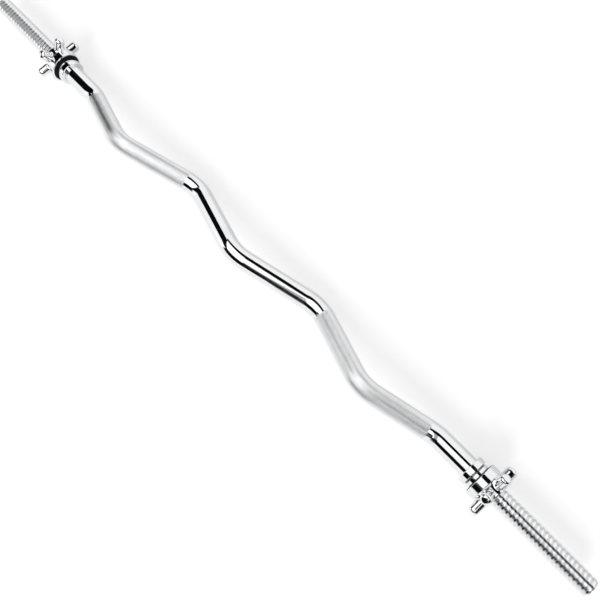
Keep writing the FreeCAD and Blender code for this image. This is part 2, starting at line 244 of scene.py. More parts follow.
def eased_outline(corners, steps=7, guard=0.12):
    """A closed outline whose corners (x, radius, rounding) are arcs that touch both sides.

    Each arc is the blend of its two end radii by the sines of the angles that are left to turn,
    and a guard point just outside each end keeps the flats between them flat.
    """
    corners = np.array(corners, float)
    here, rounding = corners[:, :2], corners[:, 2]
    back = np.roll(here, 1, 0) - here
    onward = np.roll(here, -1, 0) - here
    back /= np.hypot(*back.T)[:, None]
    onward /= np.hypot(*onward.T)[:, None]
    half = np.arccos((back * onward).sum(1)) / 2
    bisector = (back + onward) / np.hypot(*(back + onward).T)[:, None]
    centre = here + bisector * (rounding / np.sin(half))[:, None]
    reach = (rounding / np.tan(half))[:, None]
    start, finish = here + back * reach, here + onward * reach
    sweep = (np.pi - 2 * half)[:, None]
    share = np.linspace(0, 1, steps)[None, :]
    from_start = np.sin((1 - share) * sweep) / np.sin(sweep)
    from_finish = np.sin(share * sweep) / np.sin(sweep)
    arc = (
        centre[:, None] + from_start[..., None] * (start - centre)[:, None]
        + from_finish[..., None] * (finish - centre)[:, None]
    )
    before, beyond = start + back * guard, finish + onward * guard
    return np.concatenate([before[:, None], arc, beyond[:, None]], 1)


def turned_ring(corners):
    """A closed ring: an eased outline of (x, radius) turned once round the axis."""
    outline = eased_outline(corners).reshape(-1, 2)
    points = turned(outline[:, :1], outline[:, 1:], TURNED_RING)
    return points, [grid_faces(len(outline), TURNED_RING, closed_rows=True)]


def centreline_pieces():
    """Where each run and bend of the W begins, with its first point, heading and curvature.

    At a corner that turns by t, a bend of radius r begins r * tan(t / 2) before the corner and is
    r * t long. Lengths are measured along the line from the middle of the W, and half of the whole
    length comes last.
    """
    corners = np.array(W_CORNERS, float)
    runs = np.diff(corners, axis=0)
    lengths = np.hypot(*runs.T)
    headings = np.arctan2(runs[:, 1], runs[:, 0])
    turns = np.diff(headings)
    units = runs / lengths[:, None]
    reach = np.concatenate([[0], BEND_RADIUS * np.tan(abs(turns) / 2), [0]])
    count = len(runs) + len(turns)
    first, heading = np.empty((count, 2)), np.empty(count)
    curvature, length = np.zeros(count), np.empty(count)
    first[0::2] = corners[:-1] + units * reach[:-1, None]
    first[1::2] = corners[1:-1] - units[:-1] * reach[1:-1, None]
    heading[0::2], heading[1::2] = headings, headings[:-1]
    curvature[1::2] = np.sign(turns) / BEND_RADIUS
    length[0::2] = lengths - reach[:-1] - reach[1:]
    length[1::2] = BEND_RADIUS * abs(turns)
    begin = np.concatenate([[0], np.cumsum(length)[:-1]]) - length.sum() / 2
    return begin, first, heading, curvature, length.sum() / 2


PIECE_BEGIN, PIECE_FIRST, PIECE_HEADING, PIECE_CURVATURE, HALF_GRIP = centreline_pieces()


def along_centreline(length):
    """x, z and heading at a length from the middle of the W.

    In a bend that has turned by t after a length d, the chord is d * sin(t / 2) / (t / 2) long and
    points half way between the two headings; a run is the same with t = 0.
    """
    piece = np.clip(np.searchsorted(PIECE_BEGIN, length, side="right") - 1, 0, None)
    done = length - PIECE_BEGIN[piece]
    turn = PIECE_CURVATURE[piece] * done
    chord = done * np.sinc(turn / (2 * np.pi))
    middle = PIECE_HEADING[piece] + turn / 2
    x = PIECE_FIRST[piece, 0] + chord * np.cos(middle)
    z = PIECE_FIRST[piece, 1] + chord * np.sin(middle)
    return x, z, PIECE_HEADING[piece] + turn


def grip_surface(length, radius):
    """The skin of the bent bar over (length along it, angle f round it).

    The point lies radius * (cos f * normal + sin f * across) from the centreline, where the
    normal stays in the plane of the W.
    """
    x, z, heading = along_centreline(length)
    angle = ring_angles(radius.shape[1])
    rise = radius * np.cos(angle)
    return np.stack(
        [
            x[:, None] - rise * np.sin(heading)[:, None],
            radius * np.sin(angle),
            z[:, None] + rise * np.cos(heading)[:, None],
        ],
        -1,
    )


def polished_middle():
    """The bent bar at its full radius, from one knurled zone to the other."""
    rows = int(2 * KNURL_START / GRIP_STEP) + 1
    length = np.linspace(-KNURL_START, KNURL_START, rows)
    return closed_tube(grip_surface(length, np.full((rows, GRIP_RING), GRIP_RADIUS)))


def shoulder_grip(side):
    """The plain end of the grip, its last edge eased down to the shoulder's face.

    The face goes on inwards to a radius a little less than the relief's, under the sleeve.
    """
    length = np.linspace(KNURL_END, HALF_GRIP - SHOULDER_EDGE, SHOULDER_ROWS)
    length = np.append(length, [HALF_GRIP, HALF_GRIP])
    radius = np.full(len(length), GRIP_RADIUS)
    radius[-2:] = GRIP_RADIUS - SHOULDER_EDGE, RELIEF_RADIUS - SHOULDER_OVERLAP
    rings = np.broadcast_to(radius[:, None], (len(length), GRIP_RING))
    return closed_tube(grip_surface(side * length, rings))


def knurled_grip(side):
    """A hand zone with a raised diamond pattern, and how deep in a groove each point is.

    With steps along and round the bar of a quarter diamond each, the grooves lie where
    (along + round) / 4 or (along - round) / 4 is a whole number. The depth falls straight from 1
    there to 0 at the groove's half width, and the deeper of the two counts. Each quad is split
    along the groove that it touches.
    """
    quarter_round = np.pi * GRIP_RADIUS / (2 * KNURL_DIAMONDS)
    quarter_along = quarter_round / math.tan(KNURL_ANGLE)
    rows = 4 * round((KNURL_END - KNURL_START) / quarter_along / 4) + 1
    columns = 4 * KNURL_DIAMONDS
    steps_along, steps_round = np.arange(rows)[:, None], np.arange(columns)[None, :]

    def in_groove(place):
        return np.clip(1 - abs(place - np.round(place)) / KNURL_GROOVE, 0, 1)

    rising = in_groove((steps_along + steps_round) / 4)
    falling = in_groove((steps_along - steps_round) / 4)
    next_rising = in_groove((steps_along + steps_round + 1) / 4)
    depth = np.maximum(rising, falling)
    depth[[0, -1]] = 0
    length = side * np.linspace(KNURL_START, KNURL_END, rows)
    points = grip_surface(length, GRIP_RADIUS - KNURL_DEPTH * depth)
    quads = grid_faces(rows, columns)
    split_falling = (falling[:-1] >= next_rising[:-1]).reshape(-1, 1)
    one_half = np.where(split_falling, quads[:, [0, 1, 2]], quads[:, [0, 1, 3]])
    other_half = np.where(split_falling, quads[:, [0, 2, 3]], quads[:, [1, 2, 3]])
    shell = closed_tube(points, np.concatenate([one_half, other_half]))
    return shell, np.concatenate([depth.reshape(-1), [0, 0]])


def threaded_sleeve():
    """The screwed end of the bar, and how deep in its groove each point is.

    Rows follow the helix: a row at distance d from the groove's middle lies at
    x = start + pitch * turns + d, and the radius goes from root to crest by a ramp in d whose two
    ends are rounded. The relief by the shoulder and the chamfer at the end cut the radius down,
    and rows that would pass either end stay on it. Past its last column, a row goes on as the one
    that is a turn further.
    """
    flank = GROOVE_HALF_WIDTH - ROOT_HALF_WIDTH
    from_middle = np.array(THREAD_PLACES)
    last_turn = math.ceil((BAR_END_X - THREAD_START_X) / PITCH) + SPARE_TURNS
    turns = np.arange(-SPARE_TURNS, last_turn)
    row_x = (THREAD_START_X + PITCH * turns[:, None] + from_middle).reshape(-1)
    ramp = (np.tile(abs(from_middle), len(turns)) - ROOT_HALF_WIDTH) / flank
    climbed = (
        np.sqrt(ramp ** 2 + THREAD_SOFTNESS ** 2)
        - np.sqrt((ramp - 1) ** 2 + THREAD_SOFTNESS ** 2) + 1
    ) / 2
    angle = ring_angles(THREAD_RING)
    x = np.clip(row_x[:, None] + PITCH * angle / (2 * np.pi), SHOULDER_X, BAR_END_X)
    height = np.broadcast_to(climbed[:, None], x.shape)
    radius = ROOT_RADIUS + (CREST_RADIUS - ROOT_RADIUS) * height
    radius = np.minimum(radius, RELIEF_RADIUS + np.clip(x - RELIEF_END_X, 0, None))
    radius = np.minimum(radius, CREST_RADIUS - END_CHAMFER + BAR_END_X - x)
    on_start, on_finish = x <= SHOULDER_X, x >= BAR_END_X
    radius = np.where(on_start, RELIEF_RADIUS, radius)
    radius = np.where(on_finish, CREST_RADIUS - END_CHAMFER, radius)

    rows, columns = x.shape
    row = np.arange(rows - 1)[:, None]
    column = np.arange(columns)[None, :]
    next_column = (column + 1) % columns
    shift = np.where(column + 1 == columns, len(from_middle), 0)
    near = row * columns + column
    far = np.minimum(row + shift, rows - 1) * columns + next_column
    far_on = np.minimum(row + 1 + shift, rows - 1) * columns + next_column
    sides = np.stack([near, near + columns, far_on, far], -1).reshape(-1, 4)
    groove = np.concatenate([np.where(on_finish, 0, 1 - height).reshape(-1), [0, 0]])
    return closed_tube(turned(x, radius, columns), sides), groove


def nut_radius(x, angle, middle_x):
    """The inner thread: its groove's middle lies at middle_x straight up, and goes round as a helix.

    Across the groove the radius is the major one on its floor and goes straight to the minor one.
    """
    away = (x - middle_x - PITCH * angle / (2 * np.pi) + PITCH / 2) % PITCH - PITCH / 2
    places = (NUT_FLOOR_HALF_WIDTH, NUT_MOUTH_HALF_WIDTH)
    return np.interp(abs(away), places, (NUT_MAJOR_RADIUS, NUT_MINOR_RADIUS))


def hub_radius(x):
    """The outside of the star's hub: rim, cone, hub, and a quarter round down to the end face."""
    body = np.clip(RIM_RADIUS + RIM_END - x, HUB_RADIUS, RIM_RADIUS)
    past = np.clip(x - STAR_LENGTH + HUB_EDGE, 0, HUB_EDGE)
    return body - HUB_EDGE + np.sqrt(HUB_EDGE ** 2 - past ** 2)


def star_hub(groove_x):
    """The hub: an eased outline turned about the axis, closed through the threaded bore.

    The bore's radius is the inner thread's, opened by a cone of 45 degrees at each mouth. The
    bore's own corners only give the roundings of the two mouths their direction.
    """
    corners = eased_outline(STAR_OUTLINE + BORE_CORNERS)
    outline = corners[:len(STAR_OUTLINE)].reshape(-1, 2)
    bore_x = np.linspace(STAR_LENGTH - BORE_INSET, RECESS_FLOOR + BORE_INSET, BORE_ROWS)[:, None]
    cone = NUT_MINOR_RADIUS + np.maximum(
        bore_x - STAR_LENGTH + LEAD_IN, RECESS_FLOOR + LEAD_IN - bore_x
    )
    bore = np.maximum(nut_radius(bore_x, ring_angles(TURNED_RING), groove_x), cone)
    skin = np.broadcast_to(outline[:, 1:], (len(outline), TURNED_RING))
    x = np.concatenate([outline[:, :1], bore_x])
    points = turned(x, np.concatenate([skin, bore]), TURNED_RING)
    return points, [grid_faces(len(x), TURNED_RING, closed_rows=True)]


def star_arm(turn):
    """A round arm with a rounded tip, joined to the hub by a fillet.

    Round the arm by angle w and at distance p from its line, the hub below lies at the square root
    of (its radius squared - (p * sin w) squared). The fillet lifts off that height as a quarter
    round and shrinks to nothing on the outer side, where the arm meets the hub's rounded end.
    """
    angle = ring_angles(ARM_RING)
    outer_side = np.clip((np.cos(angle) - FILLET_FADE_START) / FILLET_FADE_SPAN, 0, 1)
    fillet = ARM_FILLET * (1 - outer_side ** 2 * (3 - 2 * outer_side))
    climb = np.linspace(0, np.pi / 2, FILLET_ROWS)[:, None]
    spread = ARM_RADIUS + fillet * (1 - np.sin(climb))
    lift = fillet * (1 - np.cos(climb))

    def hub_below(distance):
        x = np.clip(ARM_X + distance * np.cos(angle), 0, STAR_LENGTH)
        return np.sqrt(hub_radius(x) ** 2 - (distance * np.sin(angle)) ** 2)

    root = spread[:1] + ARM_ROOT_SPREAD
    shank_start = hub_below(spread[-1:]) + lift[-1:]
    shank = np.linspace(0, 1, SHANK_ROWS + 1)[1:, None]
    tip_start = ARM_REACH - ARM_TIP_ROUND
    tip = np.linspace(0, np.pi / 2, TIP_ROWS + 1)[1:, None]
    tip_face = ARM_RADIUS - ARM_TIP_ROUND
    face_rings = np.array(TIP_FACE_RINGS)[:, None]
    whole = np.ones_like(angle)
    distance = np.concatenate([
        root, spread, ARM_RADIUS * whole * np.ones_like(shank),
        (tip_face + ARM_TIP_ROUND * np.cos(tip)) * whole, face_rings * tip_face * whole,
    ])
    height = np.concatenate([
        hub_below(root) - ARM_ROOT_DEPTH, hub_below(spread) + lift - FILLET_SINK,
        shank_start + (tip_start - shank_start) * shank,
        (tip_start + ARM_TIP_ROUND * np.sin(tip)) * whole, ARM_REACH * np.ones_like(face_rings) * whole,
    ])
    x = ARM_X + distance * np.cos(angle)
    aside = distance * np.sin(angle)
    y = height * math.cos(turn) - aside * math.sin(turn)
    z = height * math.sin(turn) + aside * math.cos(turn)
    return closed_tube(np.stack([x, y, z], -1))


def screw_shell():
    """The grub screw, from tip to socket floor as rings whose radius is a circle's or a hexagon's.

    The hexagon's radius at angle a is its half width over the cosine of the angle from the middle
    of the nearest flat.
    """
    angle = ring_angles(SCREW_RING)
    circle = np.ones_like(angle)
    hexagon = SOCKET_HALF_FLATS / np.cos((angle + np.pi / 6) % (np.pi / 3) - np.pi / 6)
    rings = (
        (SCREW_TIP, SCREW_TIP_RADIUS * circle),
        (SCREW_TIP + SCREW_TIP_CHAMFER, SCREW_RADIUS * circle),
        (SCREW_HEAD - SCREW_HEAD_CHAMFER, SCREW_RADIUS * circle),
        (SCREW_HEAD, (SCREW_RADIUS - SCREW_HEAD_CHAMFER) * circle),
        (SCREW_HEAD, SOCKET_MOUTH * hexagon),
        (SCREW_HEAD - SOCKET_MOUTH_DEPTH, hexagon),
        (SOCKET_FLOOR, hexagon),
        (SOCKET_FLOOR - SOCKET_POINT_DEPTH, SOCKET_POINT * hexagon),
    )
    radius = np.stack([ring for down, ring in rings])
    down = np.array([[down] for down, ring in rings])
    points = [radius * np.cos(angle), radius * np.sin(angle), -down * circle]
    return closed_tube(np.stack(points, -1))


def screw_hole():
    """The grub screw's round hole through the collar's wall: two rings along the bar's own z."""
    upright = turned(-np.array([[SCREW_HOLE_FOOT], [SCREW_HOLE_TOP]]), SCREW_HOLE_RADIUS, SCREW_RING)
    return closed_tube(upright[..., [1, 2, 0]])


# Meshes

def outward(vertices, faces):
    """The faces turned so that the volume they enclose, summed by triangles, is positive."""
    flat = vertices.reshape(-1, 3)
    volume = sum(
        np.einsum("ij,ij->", flat[part[:, 0]], np.cross(flat[part[:, here]], flat[part[:, here + 1]]))
        for part in faces
        for here in range(1, part.shape[1] - 1)
    )
    return faces if volume > 0 else [part[:, ::-1] for part in faces]


def mark_groove(mesh, depth):
    """How deep in a groove each point of a mesh is, from 0 to 1, kept for its finish."""
    mesh.attributes.new("groove", "FLOAT", "POINT").data.foreach_set("value", depth)


def mesh_of(name, shells, smooth=True, groove=None):
    """One mesh from closed shells of (points in millimetres, faces)."""
    points, polygons, count = [], [], 0
    for vertices, faces in shells:
        for part in outward(vertices, faces):
            polygons += (part + count).tolist()
        points.append(vertices.reshape(-1, 3))
        count += len(points[-1])
    mesh = bpy.data.meshes.new(name)
    mesh.from_pydata((np.concatenate(points) * MM).tolist(), [], polygons)
    if groove is not None:
        mark_groove(mesh, groove)
    mesh.polygons.foreach_set("use_smooth", np.full(len(polygons), smooth))
    return mesh


def merge_doubles(mesh):
    """Points that came to lie on each other are made one, and faces left without area go."""
    work = bmesh.new()
    work.from_mesh(mesh)
    bmesh.ops.remove_doubles(work, verts=work.verts, dist=MERGE_DISTANCE)
    bmesh.ops.dissolve_degenerate(work, edges=work.edges, dist=MERGE_DISTANCE)
    work.to_mesh(mesh)
    work.free()


def add_object(name, content):
    """An object at the origin, put into the scene."""
    made = bpy.data.objects.new(name, content)
    bpy.context.collection.objects.link(made)
    return made


def drilled(mesh, cutter_mesh):
    """The mesh with the solid of another taken out of it."""
    blank = add_object("blank", mesh)
    cutter = add_object("cutter", cutter_mesh)
    cut = blank.modifiers.new("hole", "BOOLEAN")
    cut.object = cutter
    cut.operation = "DIFFERENCE"
    cut.solver = "EXACT"
    result = bpy.data.meshes.new_from_object(
        blank.evaluated_get(bpy.context.evaluated_depsgraph_get())
    )
    bpy.data.objects.remove(blank)
    bpy.data.objects.remove(cutter)
    return result


def collar_groove(mesh):
    """1 at the floor of the collar's groove and 0 at its mouth, by the distance from the axis; it
    places the painted shade that darkens the groove.
    """
    places = np.empty(3 * len(mesh.vertices))
    mesh.vertices.foreach_get("co", places)
    x, y, z = places.reshape(-1, 3).T / MM
    along = abs(x) - COLLAR_X
    in_groove = (along > HEAD_HALF - GROOVE_MARGIN) & (along < NECK_START + GROOVE_MARGIN)
    off_axis = np.hypot(y, z - AXIS_HEIGHT)
    return np.where(in_groove, np.clip(NECK_RADIUS - off_axis, 0, 1), 0)


def add_piece(name, mesh, body, node, material, crease=35):
    """An object at the origin that rides on a body and stands for a CAD node."""
    mesh.set_sharp_from_angle(angle=math.radians(crease))
    mesh.materials.clear()
    mesh.materials.append(material)
    piece = add_object(name, mesh)
    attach(piece, body)
    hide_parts(node)


# Finishes

def add_node(tree, kind, inputs=None, **settings):
    """A node with its settings, and inputs that are numbers, colours or other nodes' outputs."""
    made = tree.nodes.new(kind)
    for key, setting in settings.items():
        setattr(made, key, setting)
    for key, source in (inputs or {}).items():
        if isinstance(source, bpy.types.NodeSocket):
            tree.links.new(source, made.inputs[key])
        else:
            made.inputs[key].default_value = source
    return made


def math_node(tree, operation, first, second, clamp=False):
    """Two values put together by one operation."""
    values = {0: first, 1: second}
    return add_node(tree, "ShaderNodeMath", values, operation=operation, use_clamp=clamp).outputs[0]


def span(tree, source, low, high, to_low=0.0, to_high=1.0):
    """A smooth step of a value from low to high."""
    made = add_node(
        tree, "ShaderNodeMapRange",
        {"Value": source, "From Min": low, "From Max": high, "To Min": to_low, "To Max": to_high},
        interpolation_type="SMOOTHSTEP",
    )
    return made.outputs["Result"]


def mixed(tree, share, first, second):
    """A blend of two colours."""
    made = add_node(
        tree, "ShaderNodeMix", {0: share, 6: first, 7: second}, data_type="RGBA", clamp_factor=True
    )
    return made.outputs[2]


def noise(tree, place, scale, detail, roughness=0.5):
    """A cloudy noise over places."""
    made = add_node(tree, "ShaderNodeTexNoise", {
        "Vector": place, "Scale": scale, "Detail": detail, "Roughness": roughness,
    })
    return made.outputs["Fac"]


def new_group(name, values, output):
    """An empty node group with a Place and float values going in: what it is given, and its output."""
    group = bpy.data.node_groups.new(name, "ShaderNodeTree")
    group.interface.new_socket("Place", in_out="INPUT", socket_type="NodeSocketVector")
    for value in values:
        group.interface.new_socket(value, in_out="INPUT", socket_type="NodeSocketFloat")
    group.interface.new_socket(output, in_out="OUTPUT", socket_type="NodeSocketFloat")
    given = group.nodes.new("NodeGroupInput").outputs
    return group, given, group.nodes.new("NodeGroupOutput").inputs[output]


def make_handling_marks():
    """Faint cloudy marks of hands and cloths: a broad noise broken up by a finer one."""
    group, given, mark = new_group("handling_marks", ("Scale",), "Mark")
    broad = noise(group, given["Place"], given["Scale"], detail=4.0, roughness=0.6)
    finer = math_node(group, "MULTIPLY", given["Scale"], MARK_FINENESS)
    fine = noise(group, given["Place"], finer, detail=3.0, roughness=0.65)
    cloud = span(group, broad, low=0.48, high=0.72)
    group.links.new(math_node(group, "MULTIPLY", cloud, fine), mark)
    return group


def make_hairlines():
    """Fine polishing lines: a noise drawn out along two directions, kept only at its peaks."""
    group, given, line = new_group("hairlines", ("Scale",), "Line")
    lines = []
    for turn, stretch in ((0.35, (0.03, 1.0, 1.0)), (-0.5, (0.04, 1.0, 1.0))):
        drawn = add_node(group, "ShaderNodeMapping", {
            "Vector": given["Place"], "Rotation": (turn, turn, turn), "Scale": stretch,
        })
        streaks = noise(group, drawn.outputs[0], given["Scale"], detail=2.0)
        lines.append(span(group, streaks, low=0.6, high=0.74))
    group.links.new(math_node(group, "MAXIMUM", *lines), line)
    return group


def make_settled_dirt_and_shade():
    """Dirt that settles in grooves, and painted shade on their floors: the groove's depth, broken up by
    a noise.
    """
    group, given, dirt_and_shade = new_group("settled_dirt_and_shade", ("Depth", "Scale"), "Dirt_and_shade")
    deep = span(group, given["Depth"], low=0.45, high=1.0)
    cloud = noise(group, given["Place"], given["Scale"], detail=3.0)
    patchy = span(group, cloud, low=0.25, high=0.7, to_low=0.55, to_high=1.0)
    group.links.new(math_node(group, "MULTIPLY", deep, patchy), dirt_and_shade)
    return group


MARK_FINENESS = 5.0
HANDLING_MARKS = make_handling_marks()
HAIRLINES = make_hairlines()
SETTLED_DIRT_AND_SHADE = make_settled_dirt_and_shade()

CLEAN_CHROME = (0.88, 0.885, 0.895, 1)
MARKED_CHROME = (0.78, 0.785, 0.795, 1)
MARKED_GRIP = (0.80, 0.805, 0.815, 1)
# Near-black colour of groove floors: settled dirt, and painted shade in the collar's groove
GROOVE_DIRT_AND_SHADE = (0.03, 0.03, 0.032, 1)
RUBBER_BLACK = (0.006, 0.006, 0.0065, 1)
RUBBER_DUST = (0.03, 0.029, 0.028, 1)
STEEL_BLACK = (0.018, 0.018, 0.02, 1)
STEEL_RUBBED = (0.11, 0.11, 0.115, 1)
HAIRLINE_ROUGHNESS = 0.05
DIRT_ROUGHNESS = 0.25
DUST_SHARE = 0.5


def new_finish(name):
    """An empty material: its tree, its surface shader's inputs and its Object coordinates."""
    material = bpy.data.materials.new(name)
    material.use_nodes = True
    tree = material.node_tree
    surface = tree.nodes["Principled BSDF"].inputs
    place = tree.nodes.new("ShaderNodeTexCoord").outputs["Object"]
    return material, tree, surface, place


def effect(tree, group, **inputs):
    """The output of a shared effect, placed with this finish's own values."""
    return add_node(tree, "ShaderNodeGroup", inputs, node_tree=group).outputs[0]


def relief(tree, surface, height, strength, distance):
    """A bump of the surface, as deep as distance at its full height."""
    values = {"Height": height, "Strength": strength, "Distance": distance}
    tree.links.new(add_node(tree, "ShaderNodeBump", values).outputs[0], surface["Normal"])


def chrome_finish(name, rough, marked_rough, waviness=0.05, marked=MARKED_CHROME, dirt_and_shade_share=0):
    """Chrome plate: bright metal with hairlines, faint marks and a slight waviness under the plate.

    Where the piece has grooves, dirt and painted shade darken their floors, and the same share dulls
    them.
    """
    material, tree, surface, place = new_finish(name)
    mark = effect(tree, HANDLING_MARKS, Place=place, Scale=28.0)
    line = effect(tree, HAIRLINES, Place=place, Scale=900.0)
    colour = mixed(tree, mark, CLEAN_CHROME, marked)
    dulled = math_node(tree, "MULTIPLY", mark, marked_rough - rough)
    scratched = math_node(tree, "MULTIPLY", line, HAIRLINE_ROUGHNESS)
    roughness = math_node(tree, "ADD", math_node(tree, "ADD", dulled, scratched), rough)
    if dirt_and_shade_share:
        depth = add_node(tree, "ShaderNodeAttribute", attribute_name="groove").outputs["Fac"]
        dirt_and_shade = effect(tree, SETTLED_DIRT_AND_SHADE, Place=place, Depth=depth, Scale=160.0)
        colour = mixed(tree, math_node(tree, "MULTIPLY", dirt_and_shade, dirt_and_shade_share), colour, GROOVE_DIRT_AND_SHADE)
        dusty = math_node(tree, "MULTIPLY", dirt_and_shade, DIRT_ROUGHNESS * dirt_and_shade_share)
        roughness = math_node(tree, "ADD", roughness, dusty, clamp=True)
    tree.links.new(colour, surface["Base Color"])
    tree.links.new(roughness, surface["Roughness"])
    surface["Metallic"].default_value = 1.0
    wave = noise(tree, place, scale=90.0, detail=2.0)
    relief(tree, surface, wave, strength=waviness, distance=0.0004)
    return material


def rubber_finish():
    """Moulded black rubber with a fine grain and a little pale dust."""
    material, tree, surface, place = new_finish("black_rubber")
    mark = effect(tree, HANDLING_MARKS, Place=place, Scale=60.0)
    dust = math_node(tree, "MULTIPLY", mark, DUST_SHARE)
    grain = noise(tree, place, scale=1400.0, detail=3.0)
    roughness = span(tree, grain, low=0.2, high=0.8, to_low=0.55, to_high=0.8)
    tree.links.new(mixed(tree, dust, RUBBER_BLACK, RUBBER_DUST), surface["Base Color"])
    tree.links.new(roughness, surface["Roughness"])
    surface["Specular IOR Level"].default_value = 0.14
    relief(tree, surface, grain, strength=0.35, distance=0.0002)
    return material


def black_steel_finish():
    """Blackened steel of the grub screws, rubbed brighter in patches."""
    material, tree, surface, place = new_finish("blackened_steel")
    rubbed = effect(tree, HANDLING_MARKS, Place=place, Scale=220.0)
    line = effect(tree, HAIRLINES, Place=place, Scale=1600.0)
    roughness = span(tree, line, low=0.0, high=1.0, to_low=0.36, to_high=0.5)
    tree.links.new(mixed(tree, rubbed, STEEL_BLACK, STEEL_RUBBED), surface["Base Color"])
    tree.links.new(roughness, surface["Roughness"])
    surface["Metallic"].default_value = 0.85
    relief(tree, surface, line, strength=0.15, distance=0.0001)
    return material


polished_chrome = chrome_finish("polished_chrome", rough=0.035, marked_rough=0.10)
knurled_chrome = chrome_finish(
    "knurled_chrome", rough=0.10, marked_rough=0.20, marked=MARKED_GRIP, dirt_and_shade_share=0.2
)
threaded_chrome = chrome_finish("threaded_chrome", rough=0.05, marked_rough=0.14, dirt_and_shade_share=0.15)
# The collar takes the full share, which paints its groove's floor nearly black: painted shade for a
# deep narrow groove
collar_chrome = chrome_finish("collar_chrome", rough=0.035, marked_rough=0.10, dirt_and_shade_share=1)
cast_chrome = chrome_finish("cast_chrome", rough=0.04, marked_rough=0.11, waviness=0.12)
black_rubber = rubber_finish()
blackened_steel = black_steel_finish()


# Pieces

middle = mesh_of("grip_centre", [on_bar(polished_middle())])
add_piece("grip_centre", middle, "bar", "bar", polished_chrome)

for side_name, side in SIDES:
    name = "grip_knurl_" + side_name
    shell, groove = knurled_grip(side)
    mesh = mesh_of(name, [on_bar(shell)], smooth=False, groove=groove)
    add_piece(name, mesh, "bar", "bar", knurled_chrome)

    name = "grip_end_" + side_name
    mesh = mesh_of(name, [on_bar(shoulder_grip(side))])
    add_piece(name, mesh, "bar", "bar", polished_chrome)

    name = "sleeve_thread_" + side_name
    shell, groove = threaded_sleeve()
    mesh = mesh_of(name, [on_bar(shell, side)], groove=groove)
    merge_doubles(mesh)
    add_piece(name, mesh, "bar", "bar", threaded_chrome, crease=40)

    name = "inner_collar_" + side_name
    ring_mesh = mesh_of(name, [on_bar(turned_ring(COLLAR_OUTLINE), side, COLLAR_X)])
    hole_mesh = mesh_of("screw_hole", [on_bar(screw_hole(), side, COLLAR_X)])
    mesh = drilled(ring_mesh, hole_mesh)
    mark_groove(mesh, collar_groove(mesh))
    add_piece(name, mesh, "bar", side_name + "_inner_collar", collar_chrome)

    name = "collar_screw_" + side_name
    mesh = mesh_of(name, [on_bar(screw_shell(), side, COLLAR_X)])
    add_piece(name, mesh, "bar", side_name + "_collar_screw", blackened_steel)

    name = "rubber_ring_" + side_name
    mesh = mesh_of(name, [on_end(turned_ring(RING_OUTLINE), side, RING_FACE_X)])
    add_piece(name, mesh, side_name + "_ring", side_name + "_rubber_ring", black_rubber)

    # The bar's thread leans over with the bar, which moves it along by a share of its pitch. The
    # star's groove follows the bar's crest, half a pitch from the bar's groove.
    name = "star_collar_" + side_name
    lean_share = side * PITCH * LEAN / (2 * math.pi)
    groove_x = THREAD_START_X - lean_share + PITCH / 2 - STAR_FACE_X
    shells = [star_hub(groove_x)] + [star_arm(turn) for turn in ring_angles(ARM_COUNT)]
    mesh = mesh_of(name, [on_end(shell, side, STAR_FACE_X) for shell in shells])
    merge_doubles(mesh)
    node = side_name + "_star_collar"
    add_piece(name, mesh, side_name + "_star", node, cast_chrome, crease=50)


# Studio, in metres

FLOOR_HALF = 8
FLOOR_COLOUR = (0.80, 0.80, 0.80, 1)
WHITE = (1, 1, 1, 1)
BLACK = (0, 0, 0, 1)
FLOOR_GLOW = 0.42
NEAR_GLOW_REFLECTED = 0.34
# The weaker glow that reflections see past the bar is painted shade
FAR_SHADED_GLOW_REFLECTED = 0.10
PAINTED_SHADE_EDGE_HALF = 0.03
WORLD_FILL = 0.60


def flat_sheet(name, corners, material):
    """A flat sheet through its corners that belongs to the studio."""
    mesh = bpy.data.meshes.new(name)
    mesh.from_pydata(corners, [], [tuple(range(len(corners)))])
    mesh.materials.append(material)
    sheet = add_object(name, mesh)
    return sheet


def ray_kinds(tree):
    """1 for rays from the camera, and 1 for rays that the object has reflected or passed on."""
    path = tree.nodes.new("ShaderNodeLightPath").outputs
    reflected = math_node(tree, "MAXIMUM", path["Is Glossy Ray"], path["Is Transmission Ray"])
    return path["Is Camera Ray"], reflected


def floor_finish():
    """Matt pale paint with a glow that makes it white to the camera.

    Reflections see a weaker glow, which drops from the near side of the bar to the far side: painted
    shade, so that the far side, where the bar's shadow falls, reflects darker.
    """
    material = bpy.data.materials.new("pale_floor")
    material.use_nodes = True
    tree = material.node_tree
    tree.nodes.clear()
    matt = add_node(tree, "ShaderNodeBsdfDiffuse", {"Color": FLOOR_COLOUR})
    from_camera, reflected = ray_kinds(tree)
    place = tree.nodes.new("ShaderNodeTexCoord").outputs["Object"]
    across = add_node(tree, "ShaderNodeSeparateXYZ", {0: place}).outputs["Y"]
    reflected_glow_with_painted_shade = span(
        tree, across, -PAINTED_SHADE_EDGE_HALF, PAINTED_SHADE_EDGE_HALF, NEAR_GLOW_REFLECTED, FAR_SHADED_GLOW_REFLECTED
    )
    strength = math_node(
        tree, "ADD", math_node(tree, "MULTIPLY", from_camera, FLOOR_GLOW),
        math_node(tree, "MULTIPLY", reflected, reflected_glow_with_painted_shade),
    )
    glow = add_node(tree, "ShaderNodeEmission", {"Color": WHITE, "Strength": strength})
    both = add_node(tree, "ShaderNodeAddShader", {0: matt.outputs[0], 1: glow.outputs[0]})
    add_node(tree, "ShaderNodeOutputMaterial", {"Surface": both.outputs[0]})
    return material


def card_finish(name, glow):
    """A sheet that gives off an even light of its own and sends none back."""
    material = bpy.data.materials.new(name)
    material.use_nodes = True
    surface = material.node_tree.nodes["Principled BSDF"].inputs
    surface["Base Color"].default_value = BLACK
    surface["Specular IOR Level"].default_value = 0
    surface["Emission Color"].default_value = WHITE
    surface["Emission Strength"].default_value = glow
    return material


floor_corners = [(-FLOOR_HALF, -FLOOR_HALF, 0), (FLOOR_HALF, -FLOOR_HALF, 0)]
floor_corners += [(FLOOR_HALF, FLOOR_HALF, 0), (-FLOOR_HALF, FLOOR_HALF, 0)]
flat_sheet("floor", floor_corners, floor_finish())

